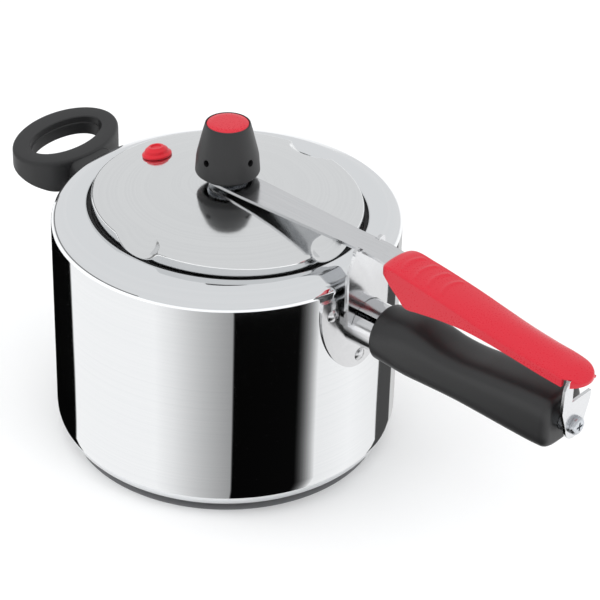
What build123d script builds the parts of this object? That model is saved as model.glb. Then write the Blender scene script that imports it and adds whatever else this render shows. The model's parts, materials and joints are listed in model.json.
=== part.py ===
"""Inner-lid pressure cooker: round pot, oval lid, spring lever with a latch, weight valve.

Millimetres. The origin is the centre of the pot's base, +Z is up and the long handle points along +X.
Pieces stay apart by the named clearances; the lid closes upwards against the underside of the rim.
"""

import os
from math import asin, cos, pi, radians, sin, sqrt, tan

from build123d import *

os.makedirs("parts", exist_ok=True)


def save(part, name):
    """Label a finished piece and write it as its own STEP file."""
    part.label = name
    export_step(part, f"parts/{name}.step")


# ---------------------------------------------------------------- driving dimensions
pot_r = 102.0  # outside radius of the pot
pot_height = 150.0  # base to the crest of the rim
pot_wall = 2.4
pot_floor = 4.0
base_corner_r = 20.0
shoulder_r = 6.4  # wall to rim rounding
rim_slope = radians(20)  # fall of the rim from its crest to the shoulder
rim_crest_r = 12.0  # rounding between the sloping rim and its flat crest
rim_fall = 14.0  # from the wall inwards to the flat crest
rim_width_x = 17.3  # from the wall inwards to the oval mouth, along the handle
rim_width_y = 24.0  # from the wall inwards to the oval mouth, across the handle
mouth_edge_r = min(1.0, 0.45 * pot_wall)  # both edges of the mouth are rounded

running_gap = 0.05  # radial clearance of a pin that turns
assembly_gap = 0.3  # between pieces that only lie near each other

lid_rise = 15.2  # lid's top above the rim
lid_wall = 2.5
lid_mouth_gap = 2.7  # between the raised lid and the mouth
lid_lap = 6.8  # how far the lid's flange reaches beyond the mouth
lid_seal_t = 2.3  # seal above the flange
lid_dome_r = 358.0  # spherical crown of the lid
lid_edge_r = 2.2  # rounding of the crown's edge
scoop_r = 24.0  # pressed thumb scoops in the lid's edge
scoop_out = 8.5  # scoop centre beyond the lid's raised edge
scoop_up = 15.5  # scoop centre above the lid's raised edge
gasket_edge = 2.2
gasket_lip = 1.8
gasket_bevel_t = 2.0
gasket_bevel_w = 6.0

strip_t = 1.8  # spring strip of the lever
strip_width_eye = 22.0
strip_width = 16.6
strip_lift = 1.5  # air between the lid's top and the strip
strip_bend_out = 9.0  # bend beyond the bracket
strip_tilt = radians(7.2)  # fall of the lever beyond its bend
strip_end_in = 22.6  # strip's end short of the grip's nose
eye_hole_r = 7.0
notch_depth = 1.4
notch_play = 0.7

bracket_out = 5.0  # middle of the upright web, and the lever's fulcrum, beyond the wall
bracket_t = 2.0
bracket_side = 2.8  # web beyond the ferrule, each side
bracket_flange = 3.0
bracket_lug_h = 5.0  # lugs that join the web to the shield
fulcrum_gap = 0.08  # between the fulcrum edge and the strip
ear_rise = 3.2
ear_w = 5.6
web_taper = 9.0  # height over which the web narrows to its ears
shield_t = 1.5
shield_half_w = 29.0
shield_above = 20.0  # shield's top above the handle's axis
shield_widest = 11.0  # shield's widest level above the handle's axis
shield_below = 31.0  # shield's foot below the handle's axis
shield_corner_r = 6.0
rivet_r = 2.4
rivet_head_r = 4.0
rivet_head_h = 1.7
rivet_out = 4.6  # upper rivets beyond the web's sides
rivet_above = 10.6  # upper rivets above the handle's axis
rivet_below = 24.0  # lower rivet below the handle's axis

handle_drop = 32.0  # axis of the lower handle below the rim
ferrule_r = 14.2
ferrule_t = 1.4
ferrule_len = 26.0  # ferrule's end beyond the wall
ferrule_slot = 3.0
ferrule_seam = 42.0  # seam turned from the top towards -Y, degrees
ferrule_lap = 6.0  # depth of the ferrule in the handle
handle_len = 123.0
handle_wall = 2.2  # plastic round the ferrule
handle_end_r = 4.0
handle_front_r = 1.8
handle_screw_r = 3.0
screw_head_r = 5.2
screw_head_h = 3.2
screw_head_round = 1.8
cross_slot_w = 1.2
cross_slot_deep = 1.8
bush_r = 6.0
bush_len = 5.0
boss_len = 9.0
boss_r = 6.5

latch_t = 2.0
latch_round_r = 8.2
latch_half_w = 12.5
latch_waist = 12.0  # where the plate reaches its full width, above the screw
latch_shoulder = 16.5  # top edge above the screw
latch_prong_in = 4.2  # inner edge of the prong, from the middle plane
latch_nose_in = 2.2  # tip of the hook's nose, from the middle plane
latch_tip_half_w = 9.0
latch_slant = 6.0  # height of the prong's slanted outer corner
latch_hook = 2.0  # height of the hook's nose
latch_play = 1.3  # nose above the ledge it holds
latch_roof_gap = 1.2  # tip below the grip's roof

grip_front_out = 6.5  # grip's front beyond the strip's bend
grip_nose_out = 7.6  # grip's nose beyond the latch
grip_half_w = 13.0
grip_wall = 2.6
grip_roof = 3.0  # plastic above the strip
grip_edge_r = 2.4
grip_ledge_t = 1.4
grip_ledge_in = 3.4  # edge of the ledge that the hook laps, from the middle plane
grip_hollow_deep = 14.0  # room cut below the ledge
skirt_front_in = 22.0  # lowest point of the front skirt, from the grip's front
skirt_front_drop = 14.5  # below the strip
grip_screw_r = 1.6
grip_screw_head_r = 3.2
grip_screw_head_h = 1.8
grip_screw_reach = 4.2
grip_screw_first = 29.5  # from the grip's front
grip_screw_pitch = 60.0
notch_side_play = 1.2
notch_head_play = 1.0
notch_in = 6.0  # inner edge of the prong's notch, from the middle plane

loop_out = 31.5  # middle of the rear loop beyond the wall
loop_drop = 6.0  # middle of the rear loop's top below the rim
loop_lean = radians(13)  # the ring rises away from the pot
loop_a = 21.8
loop_b = 39.5
loop_hole_a = 11.4
loop_hole_b = 26.8
loop_t = 11.5  # thickness of the ring
loop_root_drop = 25.5  # underside at the pot, below the middle of the ring's top
loop_root_half_w = 17.0
loop_root_step = 1.5  # root's top below the ring's top
loop_edge_r = 2.0
rear_plate_half_w = 30.0
rear_plate_h = 16.0
rear_plate_up = 8.0  # middle of the plate above the root's underside
rear_rivet_side = 25.0
rear_tongue_t = 2.0
rear_tongue_half_w = 8.0
rear_tongue_reach = 11.0
rear_screw_r = 2.0
rear_head_r = 3.6
rear_head_h = 1.5
rear_head_sink = 2.0
rear_screw_len = 12.0
rear_screw_out = 5.4  # screw axis beyond the handle's foot

stem_r = 4.0
stem_tip_r = 3.0
stem_bore_r = 1.4
stem_tip_wall = 0.4
stem_cone = 3.0  # length of the stem's conical tip
stem_tip_in = 5.0  # stem's tip above the weight's nose
seat_ball_r = 8.0  # ball seat between the nut and the strip's eye
ball_gap = 0.15
nut_flange_r = 12.0
nut_across = 17.0
nut_lift = 1.7  # nut's flange above the strip
nut_flange_t = 1.6
nut_h = 7.5
nut_hub_r = 5.5
stem_foot_r = 9.0
stem_foot_t = 4.0
stem_seal_t = 2.2

weight_gap = 2.25  # weight's rim above the strip, which tilts under it
weight_bevel_h = 2.2
weight_wide_r = 18.75
weight_foot_r = 15.4
weight_belly = 1.1  # how little the wall has drawn in at half its height
weight_height = 32.85
weight_shoulder_r = 13.8
weight_shoulder_drop = 3.4
weight_hollow_r = 14.4
weight_hollow_h = 18.25
weight_hole_h = 13.4
weight_hole_r = 2.0
core_r = 12.0
core_nose_r = 7.0
core_nose_h = 9.0
cap_r = 12.3
cap_h = 2.6
cap_crown = 0.8
cap_seat = 1.5  # plastic between the core and the cap
cap_rim = 0.7

plug_out = 57.0  # safety plug from the middle of the lid
plug_r = 8.8
plug_h = 5.6
plug_neck_r = 4.4
plug_collar_r = 6.9
plug_collar_t = 2.1


# ---------------------------------------------------------------- values that follow from them
rim_crest_start = pot_r - rim_fall
mouth_a = pot_r - rim_width_x
mouth_b = pot_r - rim_width_y
flange_top = pot_height - pot_wall - assembly_gap - lid_seal_t
flange_bottom = flange_top - lid_wall
crown_a = mouth_a - lid_mouth_gap
crown_b = mouth_b - lid_mouth_gap
flange_a = mouth_a + lid_lap
flange_b = mouth_b + lid_lap
lid_top = pot_height + lid_rise
strip_z = lid_top + strip_lift  # underside of the strip
strip_top = strip_z + strip_t
ball_z = strip_top + sqrt((seat_ball_r + ball_gap) ** 2 - eye_hole_r**2)
shield_r = pot_r + shield_t
bracket_x = pot_r + bracket_out
bracket_half_w = ferrule_r + bracket_side
web_top = strip_z - fulcrum_gap
handle_z = pot_height - handle_drop
handle_r = ferrule_r + handle_wall
ferrule_end_x = pot_r + ferrule_len
handle_start_x = ferrule_end_x - ferrule_lap
handle_end_x = handle_start_x + handle_len
shield_top = handle_z + shield_above
shield_mid = handle_z + shield_widest
shield_bottom = handle_z - shield_below
strip_bend_x = bracket_x + strip_bend_out
grip_front_x = strip_bend_x + grip_front_out
latch_x = handle_end_x + bush_len + latch_t / 2
grip_end_x = latch_x + grip_nose_out
strip_end_x = grip_end_x - strip_end_in
skirt_front_x = grip_front_x + skirt_front_in
grip_screw_places = (grip_front_x + grip_screw_first, grip_front_x + grip_screw_first + grip_screw_pitch)
nut_flange_z = strip_top + nut_lift
nut_top_z = nut_flange_z + nut_h
weight_bottom_z = strip_top + weight_gap
weight_wide_z = weight_bottom_z + weight_bevel_h
weight_top_z = weight_bottom_z + weight_height
weight_shoulder_z = weight_top_z - weight_shoulder_drop
weight_hollow_z = weight_bottom_z + weight_hollow_h
weight_hole_z = weight_bottom_z + weight_hole_h
core_nose_z = weight_hollow_z - core_nose_h
core_top_z = weight_top_z - cap_h - cap_seat
stem_tip_z = core_nose_z + stem_tip_in
loop_centre_x = -(pot_r + loop_out)
loop_centre_z = pot_height - loop_drop
loop_root_z = loop_centre_z - loop_root_drop
rear_plate_z = loop_root_z + rear_plate_up
rear_screw_x = -(shield_r + assembly_gap + rear_screw_out)
rear_screw_top = loop_root_z + rear_screw_len
tilt_drop = tan(strip_tilt)
rivet_turn = asin((bracket_half_w + rivet_out) / shield_r)
rear_rivet_turn = asin(rear_rivet_side / shield_r)
rivet_upper_z = handle_z + rivet_above
rivet_lower_z = handle_z - rivet_below
bracket_rivet_places = ((-rivet_turn, rivet_upper_z), (rivet_turn, rivet_upper_z), (0, rivet_lower_z))
rear_rivet_places = ((pi - rear_rivet_turn, rear_plate_z), (pi + rear_rivet_turn, rear_plate_z))


def lid_surface(radius, inset=0.0):
    """Height of the lid's crown at a radius, or of its inside at an inset."""
    return lid_top - lid_dome_r + sqrt((lid_dome_r - inset) ** 2 - radius**2)


def strip_under(x):
    """Underside of the strip at a place along the lever."""
    return strip_z - max(0.0, x - strip_bend_x) * tilt_drop


def strip_over(x):
    """Upper face of the strip beyond its bend."""
    return strip_under(x) + strip_t / cos(strip_tilt)


latch_tip_z = strip_over(latch_x) - latch_roof_gap
grip_ledge_z = latch_tip_z - latch_hook - latch_play  # upper face of the ledge under the hook
grip_hollow_low = grip_ledge_z - grip_hollow_deep


def wall_plane(turn, height):
    """Plane through the pot's axis whose normal points out of the wall at a turn round it."""
    return Plane((0, 0, height), x_dir=(-sin(turn), cos(turn), 0), z_dir=(cos(turn), sin(turn), 0))


# ---------------------------------------------------------------- pot
def pot_outline(inset, floor):
    """Half section of the pot at an inset from its outer skin, closed along the axis."""
    corner = base_corner_r - inset
    shoulder = shoulder_r - inset
    crest = rim_crest_r - inset
    shoulder_x = pot_r - shoulder_r
    crest_x = rim_crest_start
    crest_z = pot_height - rim_crest_r
    run = shoulder_x - crest_x
    shoulder_z = crest_z - run * tan(rim_slope) + (rim_crest_r - shoulder_r) / cos(rim_slope)
    slope_low = (shoulder_x + shoulder * sin(rim_slope), shoulder_z + shoulder * cos(rim_slope))
    slope_high = (crest_x + crest * sin(rim_slope), crest_z + crest * cos(rim_slope))
    Line((0, floor), (pot_r - base_corner_r, floor))
    TangentArc((pot_r - base_corner_r, floor), (pot_r - inset, floor + corner), tangent=(1, 0))
    Line((pot_r - inset, floor + corner), (pot_r - inset, shoulder_z))
    TangentArc((pot_r - inset, shoulder_z), slope_low, tangent=(0, 1))
    Line(slope_low, slope_high)
    TangentArc(slope_high, (crest_x, pot_height - inset), tangent=(-cos(rim_slope), sin(rim_slope)))
    Line((crest_x, pot_height - inset), (0, pot_height - inset))
    Line((0, pot_height - inset), (0, floor))


with BuildPart() as pot_body:
    with BuildSketch(Plane.XZ):
        with BuildLine():
            pot_outline(0.0, 0.0)
        make_face()
    revolve(axis=Axis.Z)
    with BuildSketch(Plane.XZ):
        with BuildLine():
            pot_outline(pot_wall, pot_floor)
        make_face()
    revolve(axis=Axis.Z, mode=Mode.SUBTRACT)
    with BuildSketch(Plane.XY.offset(pot_height - 2 * pot_wall)):
        Ellipse(mouth_a, mouth_b)
    extrude(amount=4 * pot_wall, mode=Mode.SUBTRACT)
    mouth_edges = pot_body.edges().filter_by(GeomType.BSPLINE)
    fillet(mouth_edges, mouth_edge_r)
    for turn, height in bracket_rivet_places + rear_rivet_places:
        with BuildSketch(wall_plane(turn, height).offset(pot_r / 2)):
            Circle(rivet_r)
        extrude(amount=pot_r, mode=Mode.SUBTRACT)
save(pot_body.part, "pot_body")


# ---------------------------------------------------------------- handle bracket, rivets, ferrule
with BuildPart() as rivet:
    # Along Z: domed outer head above z = 0, flat inner head below the two sheets it grips.
    rivet_grip = shield_r - sqrt((pot_r - pot_wall) ** 2 - rivet_head_r**2)
    with BuildSketch(Plane.XZ):
        with BuildLine():
            Polyline(
                (0, rivet_head_h),
                (0, -rivet_grip - rivet_head_h),
                (rivet_head_r, -rivet_grip - rivet_head_h),
                (rivet_head_r, -rivet_grip),
                (rivet_r, -rivet_grip),
                (rivet_r, 0),
                (rivet_head_r, 0),
            )
            TangentArc((0, rivet_head_h), (rivet_head_r, 0), tangent=(1, 0))
        make_face()
    revolve(axis=Axis.Z)

with BuildPart() as handle_bracket:
    # Shield: sheet that follows the pot's wall.
    with BuildSketch(Plane.XY.offset(shield_bottom - 1)):
        Circle(shield_r)
        Circle(pot_r, mode=Mode.SUBTRACT)
    extrude(amount=shield_top - shield_bottom + 2)
    with BuildSketch(Plane.YZ):
        with Locations((0, shield_mid)):
            Ellipse(shield_half_w, shield_mid - shield_bottom)
        with Locations((0, shield_top)):
            Rectangle(2 * shield_half_w + 2, 60, align=(Align.CENTER, Align.MIN), mode=Mode.SUBTRACT)
        with Locations((0, shield_mid)):
            RectangleRounded(2 * shield_half_w, 2 * (shield_top - shield_mid), shield_corner_r)
    extrude(amount=2 * pot_r, mode=Mode.INTERSECT)
    # Upright web with a rounded fulcrum edge and two ears beside the strip.
    ear_inner = strip_width / 2 - notch_depth + assembly_gap
    ear_outer = ear_inner + ear_w
    web_mid_z = web_top - bracket_t / 2
    web_low = handle_z + 4.0
    with BuildSketch(Plane.YZ.offset(bracket_x - bracket_t / 2)):
        with BuildLine():
            Polyline(
                (bracket_half_w, web_low),
                (bracket_half_w, web_mid_z - web_taper),
                (ear_outer, web_mid_z),
                (-ear_outer, web_mid_z),
                (-bracket_half_w, web_mid_z - web_taper),
                (-bracket_half_w, web_low),
                close=True,
            )
        make_face()
        with Locations((0, handle_z)):
            Circle(ferrule_r + assembly_gap, mode=Mode.SUBTRACT)
    extrude(amount=bracket_t)
    with BuildSketch(Plane.XZ.offset(-ear_outer)):
        with Locations((bracket_x, web_mid_z)):
            Circle(bracket_t / 2)
    extrude(amount=2 * ear_outer)
    for side in (-1, 1):
        ear_mid = side * (ear_inner + ear_w / 2)
        with BuildSketch(Plane.YZ.offset(bracket_x - bracket_t / 2)):
            with Locations((ear_mid, web_mid_z)):
                Rectangle(ear_w, ear_rise + bracket_t / 2 - ear_w / 2, align=(Align.CENTER, Align.MIN))
            with Locations((ear_mid, web_top + ear_rise - ear_w / 2)):
                Circle(ear_w / 2)
        extrude(amount=bracket_t)
        # Side flange, and a lug at its foot that reaches back to the shield.
        with BuildSketch(Plane.XZ.offset(-side * bracket_half_w)):
            with BuildLine():
                Polyline(
                    (bracket_x + bracket_t / 2, web_low),
                    (bracket_x + bracket_t / 2, web_mid_z - web_taper),
                    (bracket_x + bracket_t / 2 - bracket_flange, web_mid_z - web_taper - bracket_flange),
                    (bracket_x + bracket_t / 2 - bracket_flange, web_low + bracket_lug_h),
                    (pot_r - 1, web_low + bracket_lug_h),
                    (pot_r - 1, web_low),
                    close=True,
                )
            make_face()
        extrude(amount=side * bracket_t * 0.75)
    with BuildSketch(Plane.XY.offset(shield_bottom - 2)):
        Circle(pot_r)
    extrude(amount=shield_top - shield_bottom + 3, mode=Mode.SUBTRACT)
    for turn, height in bracket_rivet_places:
        with BuildSketch(wall_plane(turn, height).offset(pot_r / 2)):
            Circle(rivet_r)
        extrude(amount=pot_r, mode=Mode.SUBTRACT)
save(handle_bracket.part, "handle_bracket")


with BuildPart() as bracket_rivets:
    for turn, height in bracket_rivet_places:
        with Locations(wall_plane(turn, height).offset(shield_r).location):
            add(rivet.part)
save(bracket_rivets.part, "bracket_rivets")

with BuildPart() as handle_ferrule:
    # Rolled tube with an open seam.
    with BuildSketch(Plane.YZ.offset(pot_r / 2)):
        with Locations((0, handle_z)):
            Circle(ferrule_r)
            Circle(ferrule_r - ferrule_t, mode=Mode.SUBTRACT)
        seam = radians(ferrule_seam)
        with Locations((-ferrule_r * sin(seam), handle_z + ferrule_r * cos(seam))):
            Rectangle(ferrule_slot, ferrule_r, rotation=ferrule_seam, mode=Mode.SUBTRACT)
    extrude(amount=ferrule_end_x - pot_r / 2)
    with BuildSketch(Plane.XY.offset(handle_z - 2 * ferrule_r)):
        Circle(shield_r)
    extrude(amount=4 * ferrule_r, mode=Mode.SUBTRACT)
save(handle_ferrule.part, "handle_ferrule")

with BuildPart() as weld_nut:
    # Threaded boss inside the ferrule that the long handle screw pulls on.
    with BuildSketch(Plane.YZ.offset(shield_r + assembly_gap)):
        with Locations((0, handle_z)):
            RegularPolygon(boss_r, 6)
            Circle(handle_screw_r, mode=Mode.SUBTRACT)
    extrude(amount=boss_len)
save(weld_nut.part, "weld_nut")


# ---------------------------------------------------------------- lower handle and its screw
# Sections of the lower handle: share of its length, then how far the width, the top and the
# underside stand out beyond the round front, and how square the section is from 0 to 1.
handle_stations = (
    (0.00, 0.0, 0.0, 0.0, 0.0),
    (0.07, 0.3, 1.2, -0.2, 0.1),
    (0.22, 0.2, 2.0, -1.4, 0.4),
    (0.36, -0.6, -2.0, -2.6, 0.55),
    (0.48, -0.8, -2.8, -2.9, 0.6),
    (0.66, -0.4, -1.0, -2.2, 0.6),
    (0.86, 0.2, 1.4, -1.4, 0.55),
    (1.00, -0.2, 1.0, -1.8, 0.5),
)
with BuildPart() as lower_handle:
    for share, wider, higher, deeper, square in handle_stations:
        width = 2 * (handle_r + wider)
        depth = 2 * handle_r + higher + deeper
        with BuildSketch(Plane.YZ.offset(handle_start_x + share * handle_len)):
            with Locations((0, handle_z + (higher - deeper) / 2)):
                RectangleRounded(width, depth, min(width, depth) / 2 * (0.99 - square))
    loft()
    end_faces = lower_handle.faces().filter_by(Axis.X).sort_by(Axis.X)
    fillet(end_faces[-1].edges(), handle_end_r)
    front_faces = lower_handle.faces().filter_by(Axis.X).sort_by(Axis.X)
    fillet(front_faces[0].edges(), handle_front_r)
    with BuildSketch(Plane.YZ.offset(handle_start_x)):
        with Locations((0, handle_z)):
            Circle(ferrule_r + running_gap)
    extrude(amount=ferrule_end_x - handle_start_x, mode=Mode.SUBTRACT)
    with BuildSketch(Plane.YZ.offset(handle_start_x)):
        with Locations((0, handle_z)):
            Circle(handle_screw_r + 2 * running_gap)
    extrude(amount=handle_len, mode=Mode.SUBTRACT)
save(lower_handle.part, "lower_handle")

with BuildPart() as latch_bush:
    with BuildSketch(Plane.YZ.offset(handle_end_x)):
        with Locations((0, handle_z)):
            Circle(bush_r)
            Circle(handle_screw_r + 2 * running_gap, mode=Mode.SUBTRACT)
    extrude(amount=bush_len)
save(latch_bush.part, "latch_bush")

with BuildPart() as handle_screw:
    # Long pan-head screw: holds the handle on and is the latch's pivot.
    head_x = latch_x + latch_t / 2 + running_gap
    with BuildSketch(Plane.YZ.offset(shield_r + assembly_gap + 1)):
        with Locations((0, handle_z)):
            Circle(handle_screw_r)
    extrude(amount=head_x - shield_r - assembly_gap - 1)
    with BuildSketch(Plane.YZ.offset(head_x)):
        with Locations((0, handle_z)):
            Circle(screw_head_r)
    extrude(amount=screw_head_h)
    fillet(handle_screw.faces().sort_by(Axis.X)[-1].edges(), screw_head_round)
    with BuildSketch(Plane.YZ.offset(head_x + screw_head_h)):
        with Locations((0, handle_z)):
            Rectangle(screw_head_r, cross_slot_w)
            Rectangle(cross_slot_w, screw_head_r)
    extrude(amount=-cross_slot_deep, mode=Mode.SUBTRACT)
save(handle_screw.part, "handle_screw")

with BuildPart() as latch_plate:
    # Fork-shaped plate: the near prong carries a hook that laps the grip's ledge.
    hook_low_z = latch_tip_z - latch_hook
    with BuildSketch(Plane.YZ.offset(latch_x - latch_t / 2)):
        with BuildLine():
            Polyline(
                (latch_round_r, handle_z),
                (latch_half_w, handle_z + latch_waist),
                (latch_half_w, handle_z + latch_shoulder),
                (-latch_prong_in, handle_z + latch_shoulder),
                (-latch_prong_in, hook_low_z),
                (-latch_nose_in, hook_low_z),
                (-latch_nose_in, latch_tip_z - latch_hook / 3),
                (-latch_nose_in - latch_hook / 2, latch_tip_z),
                (-latch_tip_half_w, latch_tip_z),
                (-latch_half_w + latch_t / 2, latch_tip_z - latch_slant),
                (-latch_half_w, handle_z + latch_waist),
                (-latch_round_r, handle_z),
            )
            ThreePointArc(
                (-latch_round_r, handle_z), (0, handle_z - latch_round_r), (latch_round_r, handle_z)
            )
        make_face()
        with Locations((0, handle_z)):
            Circle(handle_screw_r + running_gap, mode=Mode.SUBTRACT)
    extrude(amount=latch_t)
save(latch_plate.part, "latch_plate")


# ---------------------------------------------------------------- lever: strip and red grip
with BuildPart() as lever_strip:
    with BuildSketch(Plane.XZ.offset(-strip_width_eye)):
        with BuildLine():
            Polyline(
                (-strip_width_eye, strip_z),
                (strip_bend_x, strip_z),
                (strip_end_x, strip_under(strip_end_x)),
                (strip_end_x, strip_under(strip_end_x) + strip_t / cos(strip_tilt)),
                (strip_bend_x, strip_top),
                (-strip_width_eye, strip_top),
                close=True,
            )
        make_face()
    extrude(amount=2 * strip_width_eye)
    with BuildSketch(Plane.XY.offset(strip_under(strip_end_x) - 5)):
        Circle(strip_width_eye / 2)
        with BuildLine():
            Polyline(
                (0, strip_width_eye / 2),
                (20, strip_width_eye / 2),
                (bracket_x - 12, strip_width / 2),
                (strip_end_x, strip_width / 2),
                (strip_end_x, -strip_width / 2),
                (bracket_x - 12, -strip_width / 2),
                (20, -strip_width_eye / 2),
                (0, -strip_width_eye / 2),
                close=True,
            )
        make_face()
    extrude(amount=40, mode=Mode.INTERSECT)
    with BuildSketch(Plane.XY.offset(strip_z - 1)):
        Circle(eye_hole_r)
        for side in (-1, 1):
            with Locations((bracket_x, side * strip_width / 2)):
                Rectangle(bracket_t + 2 * notch_play, 2 * notch_depth)
    extrude(amount=strip_t + 2, mode=Mode.SUBTRACT)
    for screw_x in grip_screw_places:
        with BuildSketch(Plane.XY.offset(strip_under(screw_x) - strip_t)):
            with Locations((screw_x, 0)):
                Circle(grip_screw_r + running_gap)
        extrude(amount=4 * strip_t, mode=Mode.SUBTRACT)
save(lever_strip.part, "lever_strip")


def grip_top(x):
    """Flat top line of the grip, parallel to the strip inside it."""
    return strip_over(x) + grip_roof


def grip_plan(inset):
    """Plan outline of the grip at an inset from its sides: bowed front, round nose."""
    nose_x = grip_end_x - 11
    tail_x = grip_front_x + 8
    nose_w = grip_half_w - 1 - inset
    tail_w = grip_half_w - 0.4 - inset
    wide_w = grip_half_w - inset
    Polyline((nose_x, nose_w), (grip_front_x + 20, wide_w), (tail_x, tail_w))
    ThreePointArc((tail_x, tail_w), (grip_front_x + inset, 0), (tail_x, -tail_w))
    Polyline((tail_x, -tail_w), (grip_front_x + 20, -wide_w), (nose_x, -nose_w))
    ThreePointArc((nose_x, -nose_w), (grip_end_x - inset, 0), (nose_x, nose_w))


with BuildPart() as grip_hollow:
    # Room inside the grip, open downwards and closed above by the strip's upper face.
    with BuildSketch(Plane.XZ.offset(-grip_half_w)):
        with BuildLine():
            Polyline(
                (grip_front_x - 5, grip_hollow_low),
                (grip_front_x - 5, strip_over(grip_front_x - 5)),
                (grip_end_x, strip_over(grip_end_x)),
                (grip_end_x, grip_hollow_low),
                close=True,
            )
        make_face()
    extrude(amount=2 * grip_half_w)
    with BuildSketch(Plane.XY.offset(grip_hollow_low - 5)):
        with BuildLine():
            grip_plan(grip_wall)
        make_face()
    extrude(amount=50, mode=Mode.INTERSECT)

with BuildPart() as grip_ledge:
    # Cross web low in the nose; the latch hook laps its upper face.
    with BuildSketch(Plane.XY.offset(grip_ledge_z - grip_ledge_t)):
        with BuildLine():
            grip_plan(grip_wall / 2)
        make_face()
        with Locations((latch_x - notch_in, -grip_ledge_in)):
            Rectangle(60, 60, align=(Align.MIN, Align.MIN), mode=Mode.INTERSECT)
    extrude(amount=grip_ledge_t)

with BuildPart() as upper_handle:
    with BuildSketch(Plane.XZ.offset(-grip_half_w - 5)):
        with BuildLine():
            Polyline(
                (grip_front_x, strip_under(grip_front_x) - 4.5),
                (grip_front_x, grip_top(grip_front_x) - 5),
                (grip_front_x + 7, grip_top(grip_front_x + 7)),
                (grip_end_x - 14, grip_top(grip_end_x - 14)),
                (grip_end_x, grip_top(grip_end_x) - 4),
                (grip_end_x, grip_ledge_z - grip_ledge_t + 2),
                (grip_end_x - 3, grip_ledge_z - grip_ledge_t),
                (grip_end_x - 20, grip_ledge_z - grip_ledge_t + 1),
                (grip_end_x - 45, strip_under(grip_end_x - 45) - 4.0),
                (grip_end_x - 73, strip_under(grip_end_x - 73) - 4.9),
                (grip_end_x - 92, strip_under(grip_end_x - 92) - 8.7),
                (skirt_front_x, strip_under(skirt_front_x) - skirt_front_drop),
                (skirt_front_x - 5, strip_under(skirt_front_x) - skirt_front_drop + 4.9),
                (grip_front_x + 10, strip_under(grip_front_x) - 6.5),
                close=True,
            )
        make_face()
    extrude(amount=2 * grip_half_w + 10)
    with BuildSketch(Plane.XY.offset(grip_hollow_low - 5)):
        with BuildLine():
            grip_plan(0)
        make_face()
    extrude(amount=50, mode=Mode.INTERSECT)
    top_faces = upper_handle.faces().filter_by(lambda face: face.normal_at().Z > 0.9)
    fillet(top_faces.edges().filter_by(lambda edge: abs(edge.center().Y) > 6), grip_edge_r)
    add(grip_hollow.part, mode=Mode.SUBTRACT)
    add(grip_ledge.part)
    # Slot in the front wall where the strip enters.
    with BuildSketch(Plane.YZ.offset(grip_front_x - 1)):
        with Locations((0, strip_over(grip_front_x - 1))):
            Rectangle(strip_width + 2 * assembly_gap, 2 * strip_t + 2, align=(Align.CENTER, Align.MAX))
    extrude(amount=grip_wall + 6, mode=Mode.SUBTRACT)
    # Notch in the near skirt for the latch's prong.
    with BuildSketch(Plane.XZ.offset(notch_in)):
        with Locations((latch_x, latch_tip_z + notch_head_play)):
            Rectangle(
                latch_t + 2 * notch_side_play,
                latch_tip_z - grip_hollow_low,
                align=(Align.CENTER, Align.MAX),
            )
    extrude(amount=grip_half_w, mode=Mode.SUBTRACT)
    for screw_x in grip_screw_places:
        with BuildSketch(Plane.XY.offset(strip_under(screw_x) - 2)):
            with Locations((screw_x, 0)):
                Circle(grip_screw_r)
        extrude(amount=2 + grip_screw_reach, mode=Mode.SUBTRACT)
save(upper_handle.part, "upper_handle")

with BuildPart() as grip_screws:
    # Two pan-head screws, up through the strip into the grip's roof.
    for screw_x in grip_screw_places:
        under = strip_under(screw_x) - grip_screw_head_r * tilt_drop
        with BuildSketch(Plane.XY.offset(under)):
            with Locations((screw_x, 0)):
                Circle(grip_screw_head_r)
        extrude(amount=-grip_screw_head_h)
        with BuildSketch(Plane.XY.offset(under)):
            with Locations((screw_x, 0)):
                Circle(grip_screw_r)
        extrude(amount=grip_screw_reach)
save(grip_screws.part, "grip_screws")


# ---------------------------------------------------------------- lid and its seal
def crown_solid(inset):
    """Raised oval crown of the lid, with its scoops, at an inset from the outer skin."""
    with BuildPart() as crown:
        with BuildSketch(Plane.XY.offset(flange_bottom)):
            Ellipse(crown_a - inset, crown_b - inset)
        extrude(amount=lid_top - flange_bottom + 5)
        with Locations((0, 0, lid_top - lid_dome_r)):
            Sphere(lid_dome_r - inset, mode=Mode.INTERSECT)
        if inset == 0:
            fillet(crown.faces().sort_by(Axis.Z)[-1].edges(), lid_edge_r)
        scoop_z = lid_surface(crown_a) + scoop_up
        scoop_b = crown_b + scoop_out
        with Locations((crown_a + scoop_out, 0, scoop_z), (0, scoop_b, scoop_z), (0, -scoop_b, scoop_z)):
            Sphere(scoop_r + inset, mode=Mode.SUBTRACT)
    return crown.part


plug_lean = -asin(plug_out / lid_dome_r)
plug_point = (-plug_out, 0, lid_surface(plug_out))
plug_across = (cos(plug_lean), 0, -sin(plug_lean))
plug_plane = Plane(plug_point, x_dir=plug_across, z_dir=(sin(plug_lean), 0, cos(plug_lean)))
plug_section = Plane(plug_point, x_dir=plug_across, z_dir=(0, -1, 0))

with BuildPart() as lid:
    add(crown_solid(0))
    with BuildSketch(Plane.XY.offset(flange_bottom)):
        Ellipse(flange_a, flange_b)
    extrude(amount=lid_wall)
    add(crown_solid(lid_wall), mode=Mode.SUBTRACT)
    with BuildSketch(Plane.XY.offset(flange_bottom)):
        Circle(stem_r + assembly_gap / 2)
    extrude(amount=lid_top - flange_bottom + 1, mode=Mode.SUBTRACT)
    with BuildSketch(plug_plane):
        Circle(plug_neck_r)
    extrude(amount=2 * lid_wall, both=True, mode=Mode.SUBTRACT)
save(lid.part, "lid")

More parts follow.
